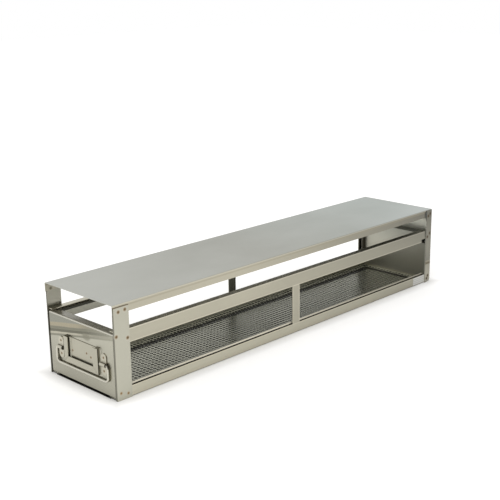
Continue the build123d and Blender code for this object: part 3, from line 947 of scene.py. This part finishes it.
def studio_floor():
    """A pale floor that keeps the rack's shadow and meets the white room around it; its own light
    is left out under the rack, which leaves painted shade there.
    """
    data = bpy.data.meshes.new("floor")
    signs = ((-1, -1), (1, -1), (1, 1), (-1, 1))
    corners = [(x * FLOOR_REACH, y * FLOOR_REACH, 0) for x, y in signs]
    data.from_pydata(corners, [], [(0, 1, 2, 3)])
    floor = bpy.data.objects.new("floor", data)
    floor.location.z = -FLOOR_DROP
    bpy.context.scene.collection.objects.link(floor)
    material, tree, shader = new_material("floor_paint")
    shader.inputs["Base Color"].default_value = (0.9, 0.9, 0.9, 1.0)
    shader.inputs["Roughness"].default_value = 0.9
    shader.inputs["Specular IOR Level"].default_value = 0.0
    shader.inputs["Emission Color"].default_value = (1.0, 1.0, 1.0, 1.0)
    place = Place(tree)
    # Its own light fades out near the rack and is left out under it, which paints shade there
    high = cad_bounds[1]
    beside = maths(tree, "SUBTRACT", maths(tree, "ABSOLUTE", place.x), high[0])
    beyond = maths(tree, "SUBTRACT", maths(tree, "ABSOLUTE", place.y), high[1])
    clear = ramp(tree, largest(tree, beside, beyond), *FLOOR_FADE)
    lift = times(tree, seen_directly(tree), clear, FLOOR_LIFT)
    tree.links.new(lift, shader.inputs["Emission Strength"])
    data.materials.append(material)


def lamp(name, place, power, colour):
    """A soft square lamp that looks at the rack."""
    data = bpy.data.lights.new(name, "AREA")
    data.shape = "SQUARE"
    data.size = LAMP_SIZE
    data.energy = power
    data.color = colour
    obj = bpy.data.objects.new(name, data)
    obj.location = place
    obj.rotation_euler = (Vector(LAMP_TARGET) - Vector(place)).to_track_quat("-Z", "Y").to_euler()
    bpy.context.scene.collection.objects.link(obj)


def camera():
    """The photograph's camera."""
    azimuth = math.radians(CAMERA_AZIMUTH)
    elevation = math.radians(CAMERA_ELEVATION)
    roll = math.radians(CAMERA_ROLL)
    forward = Vector(
        (
            -math.sin(azimuth) * math.cos(elevation),
            math.cos(azimuth) * math.cos(elevation),
            -math.sin(elevation),
        )
    )
    level = Vector((math.cos(azimuth), math.sin(azimuth), 0.0))
    right = level * math.cos(roll) + level.cross(forward) * math.sin(roll)
    up = right.cross(forward)
    data = bpy.data.cameras.new("camera")
    data.lens = CAMERA_LENS
    data.sensor_width = CAMERA_SENSOR
    data.clip_start = CAMERA_NEAR
    obj = bpy.data.objects.new("camera", data)
    turn = Matrix((right, up, -forward)).transposed().to_4x4()
    obj.matrix_world = Matrix.Translation(CAMERA_PLACE) @ turn
    bpy.context.scene.collection.objects.link(obj)
    bpy.context.scene.camera = obj


# Nodes, then their material's name, colour, roughness, grain, marks with painted light and shade,
# and for some where it mirrors less and where it is smoother
SHEETS = (
    (["top_cover"], "cover_sheet", (0.355, 0.357, 0.315), 0.36, COVER_GRAIN, paint_cover),
    (
        ["front_post_left", "front_post_right"],
        "post_sheet", (0.5, 0.49, 0.41), 0.34, UPRIGHT, paint_post,
    ),
    (
        ["side_panel_left", "side_panel_right"],
        "side_sheet", (0.438, 0.416, 0.333), 0.3, ALONG, paint_side,
    ),
    (["front_sill", "rear_sill"], "sill_sheet", (0.4, 0.38, 0.3), 0.32, LEVEL, paint_sill),
    (["back_panel"], "back_sheet", (0.46, 0.44, 0.36), 0.32, LEVEL, paint_back, dull_back),
    (
        ["drawer_front"],
        "front_sheet", (0.447, 0.437, 0.362), 0.26, LEVEL, paint_front, dull_front,
    ),
    (
        ["drawer_side_left", "drawer_side_right", "drawer_back"],
        "drawer_sheet", (0.45, 0.44, 0.37), 0.34, ALONG, paint_drawer, highlight_strip, top_flange,
    ),
    (
        ["card_holder"],
        "holder_sheet", (0.44, 0.424, 0.345), 0.3, UPRIGHT, paint_holder, dull_holder,
    ),
    (
        ["handle_bracket_left", "handle_bracket_right"],
        "bracket_sheet", (0.5, 0.48, 0.395), 0.3, UPRIGHT, paint_bracket,
    ),
    (["bail_handle"], "bright_wire", (0.58, 0.56, 0.48), 0.2, LEVEL, paint_wire),
)
for names, *looks in SHEETS:
    dress(names, steel(*looks))
dress(["label_sticker"], label_material())

sheet = perforated_floor()
perforated_steel = steel(
    "perforated_steel", (0.475, 0.472, 0.375), 0.32, ALONG, paint_perforated, dull_perforated
)
sheet.data.materials.append(perforated_steel)
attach(sheet, "drawer")
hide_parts("perforated_floor")

white_room()
studio_floor()
lamp("key", (0.4, -2.0, 2.2), 10.0, (1.0, 0.98, 0.94))
lamp("fill", (1.8, 0.4, 1.6), 5.0, (0.97, 0.98, 1.0))
camera()
bpy.context.scene.view_settings.view_transform = "Standard"
